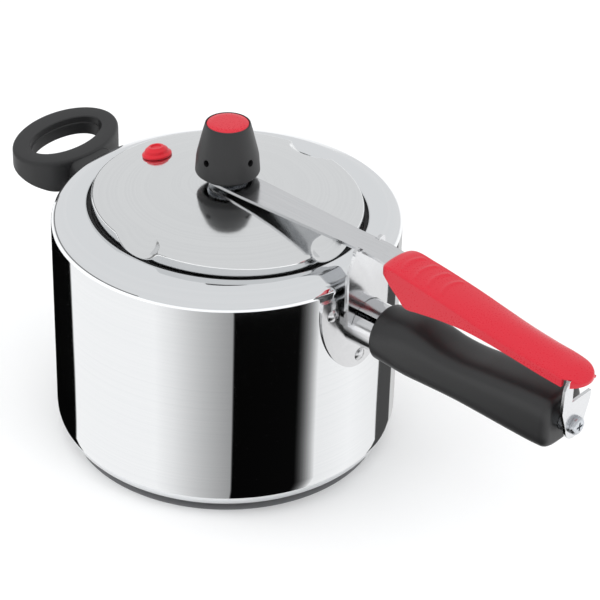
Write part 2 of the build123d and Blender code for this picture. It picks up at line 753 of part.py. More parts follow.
with BuildPart() as lid_gasket:
    # U-section seal round the flange; its upper lip meets the underside of the rim.
    gasket_low = flange_bottom - gasket_lip
    gasket_high = pot_height - pot_wall - assembly_gap
    with BuildSketch(Plane.XY.offset(gasket_low)):
        Ellipse(flange_a + gasket_edge, flange_b + gasket_edge)
    extrude(amount=gasket_high - gasket_low)
    chamfer(lid_gasket.faces().sort_by(Axis.Z)[-1].edges(), gasket_bevel_t, gasket_bevel_w)
    with BuildSketch(Plane.XY.offset(gasket_low)):
        Ellipse(crown_a + assembly_gap, crown_b + assembly_gap)
    extrude(amount=gasket_high - gasket_low, mode=Mode.SUBTRACT)
    with BuildSketch(Plane.XY.offset(flange_bottom)):
        Ellipse(flange_a, flange_b)
    extrude(amount=lid_wall, mode=Mode.SUBTRACT)
save(lid_gasket.part, "lid_gasket")


# ---------------------------------------------------------------- valve stem, nut and weight
inner_top = lid_surface(0, lid_wall)
seal_low = inner_top - stem_seal_t
with BuildPart() as valve_stem:
    # Hex foot under the lid, threaded middle, slender tube with a conical tip.
    with BuildSketch(Plane.XY.offset(seal_low - stem_foot_t)):
        RegularPolygon(stem_foot_r, 6)
    extrude(amount=stem_foot_t)
    with BuildSketch(Plane.XZ):
        with BuildLine():
            Polyline(
                (0, seal_low - stem_foot_t / 2),
                (stem_r, seal_low - stem_foot_t / 2),
                (stem_r, core_nose_z - 2 * (stem_r - stem_tip_r)),
                (stem_tip_r, core_nose_z - (stem_r - stem_tip_r)),
                (stem_tip_r, stem_tip_z - stem_cone),
                (stem_bore_r + stem_tip_wall, stem_tip_z),
                (0, stem_tip_z),
                close=True,
            )
        make_face()
    revolve(axis=Axis.Z)
    with BuildSketch(Plane.XY.offset(seal_low - stem_foot_t)):
        Circle(stem_bore_r)
    extrude(amount=stem_tip_z - seal_low + stem_foot_t, mode=Mode.SUBTRACT)
save(valve_stem.part, "valve_stem")

with BuildPart() as stem_seal:
    with BuildSketch(Plane.XY.offset(seal_low)):
        Circle(stem_foot_r)
        Circle(stem_r + running_gap, mode=Mode.SUBTRACT)
    extrude(amount=lid_surface(stem_foot_r, lid_wall) - seal_low)
save(stem_seal.part, "stem_seal")

with BuildPart() as stem_nut:
    # Clamps the lid from above; its ball face carries the strip's eye.
    ball_low = ball_z - sqrt(seat_ball_r**2 - nut_hub_r**2)
    ball_high_r = sqrt(seat_ball_r**2 - (ball_z - nut_flange_z) ** 2)
    with BuildSketch(Plane.XZ):
        with BuildLine():
            Polyline((0, nut_flange_z + nut_flange_t), (0, lid_top), (nut_hub_r, lid_top), (nut_hub_r, ball_low))
            ThreePointArc(
                (nut_hub_r, ball_low),
                (sqrt(seat_ball_r**2 - (ball_z - strip_top) ** 2), strip_top),
                (ball_high_r, nut_flange_z),
            )
            Polyline(
                (ball_high_r, nut_flange_z),
                (nut_flange_r, nut_flange_z),
                (nut_flange_r, nut_flange_z + nut_flange_t),
                (0, nut_flange_z + nut_flange_t),
            )
        make_face()
    revolve(axis=Axis.Z)
    with BuildSketch(Plane.XY.offset(nut_flange_z)):
        RegularPolygon(nut_across / 2, 6, major_radius=False)
    extrude(amount=nut_top_z - nut_flange_z)
    with BuildSketch(Plane.XY.offset(lid_top)):
        Circle(stem_r + running_gap)
    extrude(amount=nut_top_z - lid_top, mode=Mode.SUBTRACT)
save(stem_nut.part, "stem_nut")

with BuildPart() as weight_shell:
    with BuildSketch(Plane.XZ):
        with BuildLine():
            Polyline((0, weight_top_z), (0, weight_bottom_z), (weight_foot_r, weight_bottom_z))
            Line((weight_foot_r, weight_bottom_z), (weight_wide_r, weight_wide_z))
            ThreePointArc(
                (weight_wide_r, weight_wide_z),
                (weight_wide_r - weight_belly, (weight_wide_z + weight_shoulder_z) / 2),
                (weight_shoulder_r, weight_shoulder_z),
            )
            Polyline(
                (weight_shoulder_r, weight_shoulder_z),
                (cap_r + cap_rim, weight_top_z),
                (0, weight_top_z),
            )
        make_face()
    revolve(axis=Axis.Z)
    with BuildSketch(Plane.XY.offset(weight_bottom_z)):
        Circle(weight_hollow_r)
    extrude(amount=weight_hollow_z - weight_bottom_z, mode=Mode.SUBTRACT)
    with BuildSketch(Plane.XY.offset(weight_hollow_z)):
        Circle(core_r)
    extrude(amount=core_top_z - weight_hollow_z, mode=Mode.SUBTRACT)
    with BuildSketch(Plane.XY.offset(weight_top_z)):
        Circle(cap_r)
    extrude(amount=-cap_h, mode=Mode.SUBTRACT)
    for cross in (Plane.XZ, Plane.YZ):
        with BuildSketch(cross):
            with Locations((0, weight_hole_z)):
                Circle(weight_hole_r)
        extrude(amount=2 * weight_wide_r, both=True, mode=Mode.SUBTRACT)
save(weight_shell.part, "weight_shell")

with BuildPart() as weight_core:
    # Metal weight pressed into the shell; its nose closes the stem's tip.
    with BuildSketch(Plane.XY.offset(core_nose_z)):
        Circle(core_nose_r)
    extrude(amount=weight_hollow_z - core_nose_z)
    with BuildSketch(Plane.XY.offset(weight_hollow_z)):
        Circle(core_r)
    extrude(amount=core_top_z - weight_hollow_z)
    with BuildSketch(Plane.XZ):
        with BuildLine():
            Polyline(
                (0, core_nose_z),
                (stem_tip_r + assembly_gap, core_nose_z),
                (stem_tip_r + assembly_gap, stem_tip_z - stem_cone),
                (stem_bore_r + stem_tip_wall + assembly_gap, stem_tip_z + assembly_gap),
                (0, stem_tip_z + assembly_gap + 1),
                close=True,
            )
        make_face()
    revolve(axis=Axis.Z, mode=Mode.SUBTRACT)
save(weight_core.part, "weight_core")

with BuildPart() as weight_cap:
    with BuildSketch(Plane.XZ):
        with BuildLine():
            Polyline(
                (0, weight_top_z + cap_crown),
                (0, weight_top_z - cap_h),
                (cap_r - running_gap, weight_top_z - cap_h),
                (cap_r - running_gap, weight_top_z),
            )
            TangentArc((0, weight_top_z + cap_crown), (cap_r - running_gap, weight_top_z), tangent=(1, 0))
        make_face()
    revolve(axis=Axis.Z)
save(weight_cap.part, "weight_cap")

with BuildPart() as safety_plug:
    # Stepped soft button square to the lid's crown, with a collar under the lid.
    with BuildSketch(plug_section):
        with BuildLine():
            Polyline(
                (0, -lid_wall - plug_collar_t),
                (plug_collar_r, -lid_wall - plug_collar_t),
                (plug_collar_r, -lid_wall - 2 * running_gap),
                (plug_neck_r, -lid_wall - 2 * running_gap),
                (plug_neck_r, running_gap),
                (plug_r, running_gap),
                (plug_r, 0.21 * plug_h),
                (0.79 * plug_r, 0.45 * plug_h),
                (0.75 * plug_r, 0.71 * plug_h),
                (0.56 * plug_r, 0.91 * plug_h),
                (0.5 * plug_r, plug_h),
                (0.36 * plug_r, plug_h),
                (0.34 * plug_r, 0.84 * plug_h),
                (0, 0.84 * plug_h),
                close=True,
            )
        make_face()
    revolve(axis=Axis(plug_section.origin, plug_section.y_dir))
save(safety_plug.part, "safety_plug")


# ---------------------------------------------------------------- rear loop handle
with BuildPart() as rear_bracket:
    with BuildSketch(Plane.XY.offset(rear_plate_z)):
        Circle(shield_r)
        Circle(pot_r, mode=Mode.SUBTRACT)
    extrude(amount=rear_plate_h / 2, both=True)
    with BuildSketch(Plane.YZ):
        with Locations((0, rear_plate_z)):
            RectangleRounded(2 * rear_plate_half_w, rear_plate_h, rivet_head_r)
    extrude(amount=-2 * pot_r, mode=Mode.INTERSECT)
    with BuildSketch(Plane.XY.offset(rear_plate_z - rear_tongue_t / 2)):
        with Locations((-pot_r - shield_t / 2, 0)):
            Rectangle(rear_tongue_reach, 2 * rear_tongue_half_w, align=(Align.MAX, Align.CENTER))
        with Locations((rear_screw_x, 0)):
            Circle(rear_screw_r + running_gap, mode=Mode.SUBTRACT)
    extrude(amount=rear_tongue_t)
    for turn, height in rear_rivet_places:
        with BuildSketch(wall_plane(turn, height).offset(pot_r / 2)):
            Circle(rivet_r)
        extrude(amount=pot_r, mode=Mode.SUBTRACT)
save(rear_bracket.part, "rear_bracket")

with BuildPart() as rear_rivets:
    for turn, height in rear_rivet_places:
        with Locations(wall_plane(turn, height).offset(shield_r).location):
            add(rivet.part)
save(rear_rivets.part, "rear_rivets")

loop_across = (cos(loop_lean), 0, -sin(loop_lean))
loop_plane = Plane(
    (loop_centre_x, 0, loop_centre_z), x_dir=loop_across, z_dir=(sin(loop_lean), 0, cos(loop_lean))
)
loop_depth = loop_centre_z - loop_root_z


def loop_top(x):
    """Height of the leaning ring's top face."""
    return loop_centre_z - (x - loop_centre_x) * tan(loop_lean)


with BuildPart() as rear_handle:
    # Leaning oval ring with a straight root, both deeper towards the pot.
    with BuildSketch(loop_plane):
        Ellipse(loop_a, loop_b)
    extrude(amount=-2 * loop_depth)
    fillet(rear_handle.faces().sort_by(Axis.Z)[-1].edges(), loop_edge_r)
    with BuildSketch(Plane.XY.offset(loop_root_z)):
        with Locations((loop_centre_x + loop_hole_a + loop_edge_r, 0)):
            Rectangle(2 * loop_a, 2 * loop_root_half_w, align=(Align.MIN, Align.CENTER))
    extrude(amount=loop_depth)
    tip_x = loop_centre_x - loop_a
    neck_x = loop_centre_x + loop_a
    foot_x = -pot_r + base_corner_r / 2
    with BuildSketch(Plane.XZ.offset(-loop_b - 5)):
        with BuildLine():
            Polyline(
                (tip_x - 5, loop_top(tip_x) + 5),
                (tip_x - 5, loop_top(tip_x) - loop_t),
                (tip_x + 4, loop_top(tip_x) - loop_t),
                (loop_centre_x + loop_edge_r, loop_centre_z - loop_t),
                (neck_x + 2, loop_root_z),
                (foot_x, loop_root_z),
                (foot_x, loop_top(foot_x) - loop_root_step),
                (neck_x + 1, loop_top(neck_x + 1) - loop_root_step),
                (neck_x - 4, loop_top(neck_x - 4) + 5),
                close=True,
            )
        make_face()
    extrude(amount=2 * loop_b + 10, mode=Mode.INTERSECT)
    with BuildSketch(loop_plane.offset(loop_edge_r)):
        Ellipse(loop_hole_a, loop_hole_b)
    extrude(amount=-2 * loop_depth, mode=Mode.SUBTRACT)
    with BuildSketch(Plane.XY.offset(loop_root_z - loop_edge_r)):
        Circle(shield_r + assembly_gap)
    extrude(amount=2 * loop_depth, mode=Mode.SUBTRACT)
    # Slot for the bracket's tongue and a stepped hole for the screw.
    with BuildSketch(Plane.XY.offset(rear_plate_z - rear_tongue_t / 2)):
        with Locations((-pot_r, 0)):
            Rectangle(
                rear_tongue_reach + shield_t,
                2 * rear_tongue_half_w + 2 * assembly_gap,
                align=(Align.MAX, Align.CENTER),
            )
    extrude(amount=rear_tongue_t, mode=Mode.SUBTRACT)
    with BuildSketch(Plane.XY.offset(loop_root_z)):
        with Locations((rear_screw_x, 0)):
            Circle(rear_screw_r + running_gap)
    extrude(amount=rear_screw_top - loop_root_z, mode=Mode.SUBTRACT)
    with BuildSketch(Plane.XY.offset(loop_root_z)):
        with Locations((rear_screw_x, 0)):
            Circle(rear_head_r + running_gap)
    extrude(amount=rear_head_sink, mode=Mode.SUBTRACT)
save(rear_handle.part, "rear_handle")

with BuildPart() as rear_screw:
    with BuildSketch(Plane.XY.offset(loop_root_z + rear_head_sink)):
        with Locations((rear_screw_x, 0)):
            Circle(rear_head_r)
    extrude(amount=-rear_head_h)
    with BuildSketch(Plane.XY.offset(loop_root_z + rear_head_sink)):
        with Locations((rear_screw_x, 0)):
            Circle(rear_screw_r)
    extrude(amount=rear_screw_top - loop_root_z - rear_head_sink)
save(rear_screw.part, "rear_screw")
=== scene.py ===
# %% [markdown]
# # An inner-lid pressure cooker, surface by surface
# A polished aluminium pot with an oval lid that closes from inside, a spring lever with a red
# grip, a black grip and a black loop, and a weight over the steam valve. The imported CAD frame
# gives every place. Each skin below is one numpy surface or a softened copy of a CAD sheet, and
# it rides on the body that moves it.

# %% Load the frame
import json
import math

import bmesh
import bpy
import numpy as np
from mathutils import Matrix, Vector


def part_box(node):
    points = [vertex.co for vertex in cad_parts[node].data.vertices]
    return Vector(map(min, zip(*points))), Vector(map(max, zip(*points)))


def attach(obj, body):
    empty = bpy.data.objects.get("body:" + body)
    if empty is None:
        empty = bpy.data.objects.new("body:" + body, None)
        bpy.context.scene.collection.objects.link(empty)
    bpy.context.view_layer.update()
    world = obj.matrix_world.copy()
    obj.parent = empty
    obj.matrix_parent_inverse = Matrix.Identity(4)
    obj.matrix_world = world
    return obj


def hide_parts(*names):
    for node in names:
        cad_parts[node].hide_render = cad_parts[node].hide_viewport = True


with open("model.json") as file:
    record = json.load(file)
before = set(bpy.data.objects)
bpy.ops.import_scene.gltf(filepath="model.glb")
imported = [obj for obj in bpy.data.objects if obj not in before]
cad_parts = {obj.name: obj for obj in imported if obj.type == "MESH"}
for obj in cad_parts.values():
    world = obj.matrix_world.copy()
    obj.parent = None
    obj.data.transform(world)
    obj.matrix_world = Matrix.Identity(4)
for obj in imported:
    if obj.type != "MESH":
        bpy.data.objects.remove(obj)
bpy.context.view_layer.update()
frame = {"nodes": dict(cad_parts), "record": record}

MM = 0.001


def box_mm(node):
    """Lowest and highest corner of a CAD node, in millimetres."""
    return [np.array(corner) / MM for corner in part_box(node)]


# %% [markdown]
# ## Finishes
# Colours are written as sRGB hex values and turned to linear light once.
# Most finishes here differ only in colour, roughness and the size and direction of their fine
# marks, so one recipe makes them all: a stretched noise in real millimetres drives a slight
# change of colour, roughness and height, and a wide cloud adds handling smudges. Painting each
# one by hand would repeat the same six nodes.

# %% Colour and node helpers
def linear(hex_colour):
    """sRGB hex to linear RGBA: below 0.04045 divide by 12.92, above it ((c + 0.055) / 1.055) ^ 2.4."""
    c = np.array([int(hex_colour[i:i + 2], 16) for i in (1, 3, 5)]) / 255
    c = np.where(c <= 0.04045, c / 12.92, ((c + 0.055) / 1.055) ** 2.4)
    return (*map(float, c), 1.0)


def add(tree, kind, sockets=None, **settings):
    """Adds one node, sets its options, and links or sets its sockets."""
    node = tree.nodes.new(kind)
    for name, value in settings.items():
        setattr(node, name, value)
    for name, value in (sockets or {}).items():
        if isinstance(value, bpy.types.NodeSocket):
            tree.links.new(value, node.inputs[name])
        else:
            node.inputs[name].default_value = value
    return node


# %% The one recipe for a finish
def make_finish(name, pale, deep, rough, marks_mm, height_mm, turned=False, smudge=0.25, **shader):
    """Fine marks of size marks_mm along X, Y, Z shift colour, roughness and height together.

    A turned finish reads (distance from the Z axis, 0, height) instead of (x, y, z), so that its
    marks are rings. A cloud about 30 mm wide moves the roughness by the share named smudge.
    """
    material = bpy.data.materials.new(name)
    material.use_nodes = True
    tree = material.node_tree
    principled = tree.nodes["Principled BSDF"]
    place = add(tree, "ShaderNodeTexCoord").outputs["Object"]
    marks_place = place
    if turned:
        parts = add(tree, "ShaderNodeSeparateXYZ", {0: place})
        flat = add(tree, "ShaderNodeCombineXYZ", {0: parts.outputs[0], 1: parts.outputs[1]})
        ring = add(tree, "ShaderNodeVectorMath", {0: flat.outputs[0]}, operation="LENGTH")
        marks_place = add(
            tree, "ShaderNodeCombineXYZ", {0: ring.outputs["Value"], 2: parts.outputs[2]}
        ).outputs[0]
    stretched = add(
        tree, "ShaderNodeMapping",
        {"Vector": marks_place, "Scale": [1 / (size * MM) for size in marks_mm]},
    )
    marks = add(
        tree, "ShaderNodeTexNoise",
        {"Vector": stretched.outputs[0], "Scale": 1.0, "Detail": 3.0, "Roughness": 0.55},
    )
    cloud = add(tree, "ShaderNodeTexNoise", {"Vector": place, "Scale": 33.0, "Detail": 2.0})
    tint = add(
        tree, "ShaderNodeMix", {0: marks.outputs["Fac"], 6: linear(pale), 7: linear(deep)},
        data_type="RGBA",
    )
    tree.links.new(tint.outputs[2], principled.inputs["Base Color"])
    both = add(
        tree, "ShaderNodeMath", {0: cloud.outputs["Fac"], 1: smudge, 2: marks.outputs["Fac"]},
        operation="MULTIPLY_ADD",
    )
    spread = add(
        tree, "ShaderNodeMapRange",
        {"Value": both.outputs[0], "From Min": 0.35, "From Max": 0.65 + smudge,
         "To Min": rough[0], "To Max": rough[1]},
    )
    tree.links.new(spread.outputs[0], principled.inputs["Roughness"])
    if height_mm:
        bump = add(
            tree, "ShaderNodeBump",
            {"Height": marks.outputs["Fac"], "Distance": height_mm * MM, "Strength": 1.0},
        )
        tree.links.new(bump.outputs[0], principled.inputs["Normal"])
    for socket, value in shader.items():
        principled.inputs[socket.replace("_", " ")].default_value = value
    return material


# %% The cooker's own finishes
# Mark sizes are drawn coarser than life where the real ones are too fine to show: buffing lines
# of 0.1 mm are drawn at 1 mm, and mould grain of 0.15 mm at 0.5 mm.
finishes = {
    # Buffed aluminium: a near mirror that only faint level buffing lines give away.
    "polished_aluminium": make_finish(
        "buffed_mirror_aluminium", "#f1f2f3", "#e8eaec", (0.035, 0.06), (300, 300, 1.0),
        0.0001, turned=True, Metallic=1.0),
    # Spun aluminium lid: the same metal, softened by rings from the lathe.
    "lid_aluminium": make_finish(
        "spun_lid_aluminium", "#eceded", "#e2e3e4", (0.09, 0.14), (1.2, 1.2, 300),
        0.0001, turned=True, Metallic=1.0),
    # Bright stainless sheet: rolled along its length, so its lines run along X.
    "stainless_sheet": make_finish(
        "bright_rolled_stainless", "#e3e3e4", "#cfd0d2", (0.12, 0.22), (30, 0.7, 0.7),
        0.0012, Metallic=1.0),
    # Aluminium rivets: headed cold, with a faint hammered skin.
    "rivet_metal": make_finish(
        "headed_rivet_aluminium", "#dededf", "#c9cacc", (0.18, 0.30), (1.4, 1.4, 1.4),
        0.01, Metallic=1.0),
    # Zinc-plated steel: slightly blue and cloudy.
    "steel_hardware": make_finish(
        "zinc_plated_steel", "#d5d8dc", "#b6babf", (0.20, 0.34), (1.0, 1.0, 1.0),
        0.003, Metallic=1.0),
    # Phenolic: hard black moulding with a fine satin grain.
    "black_phenolic": make_finish(
        "satin_black_phenolic", "#1c1c1d", "#151516", (0.42, 0.50), (0.5, 0.5, 0.5),
        0.012, IOR=1.6),
    # Glossy red moulding: deep colour under a smooth skin.
    "red_plastic": make_finish(
        "glossy_red_moulding", "#cf0f2a", "#c40c26", (0.24, 0.34), (0.8, 0.8, 0.8),
        0.003, IOR=1.5, Coat_Weight=0.12, Coat_Roughness=0.15),
    # Rubber seal: matt black, slightly powdery.
    "gasket_rubber": make_finish(
        "black_seal_rubber", "#1d1d1e", "#161617", (0.6, 0.75), (0.6, 0.6, 0.6),
        0.01, IOR=1.52),
    # Silicone button: soft red with a satin bloom.
    "red_silicone": make_finish(
        "satin_red_silicone", "#d41026", "#c90d22", (0.35, 0.48), (0.7, 0.7, 0.7),
        0.006, IOR=1.42, Sheen_Weight=0.15),
    # Brass weight: turned, so its lines are rings.
    "brass_core": make_finish(
        "turned_brass", "#d9b36a", "#c79d52", (0.16, 0.28), (0.6, 0.6, 0.6),
        0.002, turned=True, Metallic=1.0),
}
print("finishes", len(finishes))


# %% [markdown]
# ## Turning a grid of points into a piece
# A surface of two parameters is a table of points. Neighbouring points make the faces, a wrapped
# edge joins the last row to the first, and rows that shrink to one point are merged so that the
# pole is closed. A spin or a lathe modifier would do for round pieces only.

# %% Grid to mesh
def put_on(piece, body, slot, *nodes):
    """Gives a piece its finish, its body, its slot and the CAD nodes it stands for."""
    piece.data.materials.clear()
    piece.data.materials.append(finishes[slot])
    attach(piece, body)
    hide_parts(*nodes)
    return piece


def clean(mesh, sharp_deg=35.0):
    """Merges doubles, turns all faces outwards, and shades smooth up to an angle."""
    bm = bmesh.new()
    bm.from_mesh(mesh)
    bmesh.ops.remove_doubles(bm, verts=bm.verts, dist=2e-6)
    bmesh.ops.dissolve_degenerate(bm, edges=bm.edges, dist=1e-7)
    bmesh.ops.recalc_face_normals(bm, faces=bm.faces)
    bm.to_mesh(mesh)
    bm.free()
    mesh.shade_smooth()
    mesh.set_sharp_from_angle(angle=math.radians(sharp_deg))


def grid_faces(rows, columns, wrap_rows, wrap_columns):
    """Corner numbers of the four-sided faces between neighbouring points of a table."""
    i, j = np.meshgrid(
        np.arange(rows if wrap_rows else rows - 1),
        np.arange(columns if wrap_columns else columns - 1), indexing="ij",
    )
    i, j = i.ravel(), j.ravel()
    i2, j2 = (i + 1) % rows, (j + 1) % columns
    return np.stack([i * columns + j, i * columns + j2, i2 * columns + j2, i2 * columns + j], 1)


def surface(name, points_mm, wrap_rows=False, wrap_columns=False, sharp_deg=35.0):
    """Object from a table of points in millimetres, shape (rows, columns, 3)."""
    rows, columns = points_mm.shape[:2]
    mesh = bpy.data.meshes.new(name)
    faces = grid_faces(rows, columns, wrap_rows, wrap_columns)
    mesh.from_pydata((points_mm.reshape(-1, 3) * MM).tolist(), [], faces.tolist())
    clean(mesh, sharp_deg)
    piece = bpy.data.objects.new(name, mesh)
    bpy.context.scene.collection.objects.link(piece)
    return piece


def rounded_profile(corners, arc_points=9):
    """Half section (r, z) with each corner (r, z, rounding) swept as an arc tangent to its sides."""
    line = [np.array(corners[0][:2], float)[None]]
    for before, here, after in zip(corners, corners[1:], corners[2:]):
        p = np.array(here[:2], float)
        a = np.array(before[:2], float) - p
        b = np.array(after[:2], float) - p
        a, b = a / np.linalg.norm(a), b / np.linalg.norm(b)
        half = math.acos(np.clip(a @ b, -1, 1)) / 2
        if here[2] <= 0 or half > math.radians(89.5):
            line.append(p[None])
            continue
        centre = p + (a + b) / np.linalg.norm(a + b) * here[2] / math.sin(half)
        start = p + a * here[2] / math.tan(half) - centre
        end = p + b * here[2] / math.tan(half) - centre
        turn = math.pi - 2 * half
        t = np.linspace(0, 1, arc_points)[:, None]
        line.append(centre + (np.sin((1 - t) * turn) * start + np.sin(t * turn) * end) / math.sin(turn))
    line.append(np.array(corners[-1][:2], float)[None])
    return np.concatenate(line)


def turned_points(profile, turns=192):
    """Profile (r, z) carried once round the Z axis: x = r cos t, y = r sin t."""
    t = np.linspace(0, 2 * np.pi, turns, endpoint=False)[:, None]
    r, z = profile[None, :, 0], profile[None, :, 1]
    return np.stack([r * np.cos(t), r * np.sin(t), z + 0 * t], 2)


def smooth_through(x, xs, ys):
    """Cubic curve through the given points, with the slope at each taken from its neighbours."""
    xs, ys = np.asarray(xs, float), np.asarray(ys, float)
    slope = np.gradient(ys, xs)
    i = np.clip(np.searchsorted(xs, x) - 1, 0, len(xs) - 2)
    h = xs[i + 1] - xs[i]
    t = np.clip((x - xs[i]) / h, 0, 1)
    return ((1 + 2 * t) * (1 - t) ** 2 * ys[i] + t * (1 - t) ** 2 * h * slope[i]
            + t * t * (3 - 2 * t) * ys[i + 1] + t * t * (t - 1) * h * slope[i + 1])


def ellipse_radius(a, b, turn):
    """Distance from the centre of an ellipse to its edge in one direction."""
    return a * b / np.hypot(b * np.cos(turn), a * np.sin(turn))


# %% [markdown]
# ## Pot
# Drawn aluminium, spun inwards at the top to an oval mouth. The wall is a mirror, so its shape
# has to be a true surface of revolution: a half section carried round the axis. Only the flat
# crest differs, because the mouth is oval: there the radius is shifted towards an ellipse.

# %% Pot surface
pot_high = box_mm("pot_body")[1]
pot_r, pot_h = pot_high[0], pot_high[2]
wall, floor_t = 2.4, 4.0
slope = math.tan(math.radians(20))
crest_r = pot_r - 14.0
mouth_a, mouth_b = pot_r - 17.3, pot_r - 24.0


def pot_profile():
    """Half section from the middle of the base, up the wall, over the rim and back inside."""
    outer = [
        (0, 0, 0), (pot_r, 0, 20), (pot_r, pot_h - 4.32, 6.4), (pot_r - 11.88, pot_h, 12),
        (mouth_a, pot_h, 1.0), (mouth_a, pot_h - wall, 1.0),
        (pot_r - 12.31, pot_h - wall, 9.6), (pot_r - wall, pot_h - 6.01, 4.0),
        (pot_r - wall, floor_t, 17.6), (0, floor_t, 0),
    ]
    return rounded_profile(outer, 12)


profile = pot_profile()
pot_points = turned_points(profile, 288)
turn = np.linspace(0, 2 * np.pi, 288, endpoint=False)[:, None]
ring_r = profile[None, :, 0]
near_mouth = np.clip((crest_r - ring_r) / (crest_r - mouth_a), 0, 1) * (profile[None, :, 1] > pot_h - 8)
new_r = ring_r + near_mouth * (ellipse_radius(mouth_a, mouth_b, turn) - mouth_a)
pot_points[:, :, 0], pot_points[:, :, 1] = new_r * np.cos(turn), new_r * np.sin(turn)
pot = put_on(surface("pot_shell", pot_points, wrap_rows=True), "pot", "polished_aluminium", "pot_body")
print("pot", len(pot.data.polygons), "faces, radius", round(pot_r, 1))

# %% [markdown]
# ## Lid
# A shallow spherical dome, pressed with three thumb scoops at its edge, stands above the mouth,
# and a flange below the rim carries the seal. From above it is a height over an oval plan, so
# the height is worked out on rings of that oval: the dome, lowered where a scoop's sphere dips
# under it, with the two blended over a millimetre as pressed metal is.

# %% Lid surface
lid_low, lid_high = box_mm("lid")
lid_top = lid_high[2]
dome_r = 358.0
crown_a, crown_b = mouth_a - 2.7, mouth_b - 2.7
flange_a, flange_b = lid_high[0], lid_high[1]
edge_z = lid_top - dome_r + math.sqrt(dome_r**2 - crown_a**2)
scoop_r, scoop_out, scoop_up, lid_edge_r, lid_wall = 24.0, 8.5, 15.5, 2.2, 2.5
scoop_blend = 1.1
no_ball = 1e3  # height that stands for "outside every scoop"
scoop_places = ((crown_a + scoop_out, 0.0), (0.0, crown_b + scoop_out), (0.0, -crown_b - scoop_out))


def lid_height(x, y):
    """Dome sqrt(R^2 - x^2 - y^2), softly limited by the underside of each scoop's sphere."""
    z = lid_top - dome_r + np.sqrt(dome_r**2 - x**2 - y**2)
    for sx, sy in scoop_places:
        away = (x - sx) ** 2 + (y - sy) ** 2
        ball = edge_z + scoop_up - np.sqrt(np.clip(scoop_r**2 - away, 0.01, None))
        ball = np.where(away < scoop_r**2 - 0.02, ball, no_ball)
        h = np.clip(0.5 + 0.5 * (ball - z) / scoop_blend, 0, 1)
        z = np.where(ball < no_ball, ball * (1 - h) + z * h - scoop_blend * h * (1 - h), z)
    return z


def lid_points(turns=384):
    """Ellipse radius times a share for the crown, then a rounded edge, a wall and the flange."""
    t = np.linspace(0, 2 * np.pi, turns, endpoint=False)[:, None]
    a_r, f_r = ellipse_radius(crown_a, crown_b, t), ellipse_radius(flange_a, flange_b, t)
    inset = np.concatenate([[60.0, 45.0], np.linspace(34, lid_edge_r, 44)])
    share = np.concatenate([[0.0, 0.12], 1 - inset / 82.0])
    arc = np.linspace(0, np.pi / 2, 8)[1:]
    top_r = np.concatenate([a_r * share[None, :], a_r - lid_edge_r * (1 - np.sin(arc))[None, :]], 1)
    drop = np.concatenate([0 * share, lid_edge_r * (1 - np.cos(arc))])[None, :]
    x, y = top_r * np.cos(t), top_r * np.sin(t)
    z = lid_height(x, y) - drop
    flange_top = lid_low[2] + lid_wall
    low_z = np.array([flange_top + 1.5, flange_top + 0.4, flange_top, flange_top])
    low_r = np.concatenate([a_r, a_r + 0.3, a_r + 1.5, f_r - 0.4], 1)
    rim = np.stack([low_r * np.cos(t), low_r * np.sin(t), low_z[None, :] + 0 * t], 2)
    return np.concatenate([np.stack([x, y, z], 2), rim], 1)


lid = surface("lid_shell", lid_points(), wrap_rows=True, sharp_deg=40)
shell = lid.modifiers.new("sheet", "SOLIDIFY")
shell.thickness, shell.offset = lid_wall * MM, -1.0
put_on(lid, "lid", "lid_aluminium", "lid")
print("lid", len(lid.data.polygons), "faces")

# %% [markdown]
# ## Weight, its cap and the safety button
# The weight is a black cone with four steam holes, closed by a red cap. It and the silicone
# button are round, so each is a half section carried round an axis. The holes are real: a
# boolean cuts them, because steam holes drawn as dark spots would look flat from the side.

# %% Applying modifiers and cutting
def apply_modifiers(piece, sharp_deg=35.0):
    """Makes the modifiers' result the piece's own mesh."""
    bpy.context.view_layer.update()
    result = bpy.data.meshes.new_from_object(piece.evaluated_get(bpy.context.evaluated_depsgraph_get()))
    piece.modifiers.clear()
    piece.data = result
    clean(result, sharp_deg)


def join_or_cut(piece, other, operation):
    """Boolean of two closed pieces; the second is removed afterwards."""
    step = piece.modifiers.new(operation.lower(), "BOOLEAN")
    step.operation, step.object, step.solver = operation, other, "EXACT"
    apply_modifiers(piece)
    bpy.data.objects.remove(other)


def rod(name, start, end, radius, around=32):
    """Closed cylinder between two points, used as a cutter."""
    start, end = np.array(start, float), np.array(end, float)
    axis = (end - start) / np.linalg.norm(end - start)
    side = np.cross(axis, (0.3, 0.5, 0.8))
    side /= np.linalg.norm(side)
    t = np.linspace(0, 2 * np.pi, around, endpoint=False)[:, None, None]
    ring = radius * (np.cos(t) * side + np.sin(t) * np.cross(axis, side))
    share = np.array([0.0, 0.0, 1.0, 1.0])[None, :, None]
    size = np.array([0.0, 1.0, 1.0, 0.0])[None, :, None]
    return surface(name, start + share * (end - start) + size * ring, wrap_rows=True)


